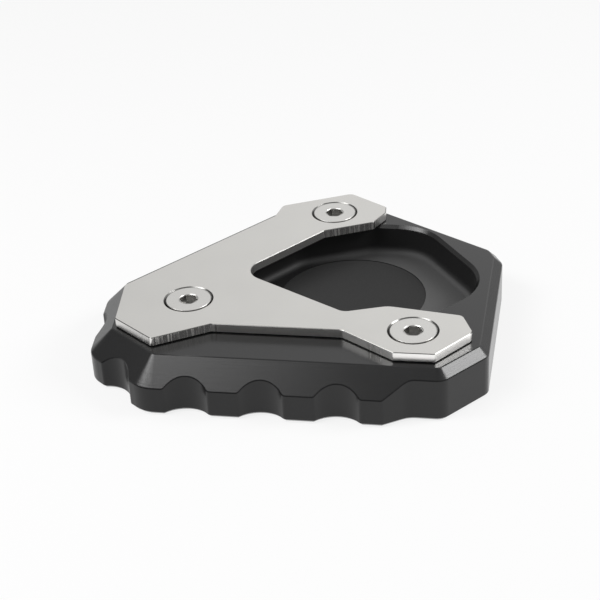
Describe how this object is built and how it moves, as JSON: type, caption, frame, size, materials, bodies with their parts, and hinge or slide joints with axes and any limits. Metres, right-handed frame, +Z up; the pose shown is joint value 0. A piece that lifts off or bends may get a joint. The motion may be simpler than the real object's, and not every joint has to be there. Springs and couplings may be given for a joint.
{
  "type": "kickstand foot enlarger",
  "caption": "Wide foot for a motorcycle side stand: a black base with a scalloped skirt and a pocket, and a silver clamp plate held by flush countersunk screws.",
  "frame": {"origin": "middle of the bounding box, on the flat underside that stands on the ground", "axes": "+Z up out of the ground, +X along the longest side, +Y from the scalloped front towards the rear corner"},
  "size_m": [0.0994, 0.0894, 0.0157],
  "materials": {
    "black_anodised": "satin black anodised, with fine milling marks",
    "satin_silver": "satin silver anodised, with bright broken edges and milled side walls",
    "screw_silver": "plain satin steel"
  },
  "bodies": {
    "root": {"base_plate": "black_anodised", "clamp_plate": "satin_silver", "clamp_screws": "screw_silver"}
  },
  "joints": []
}
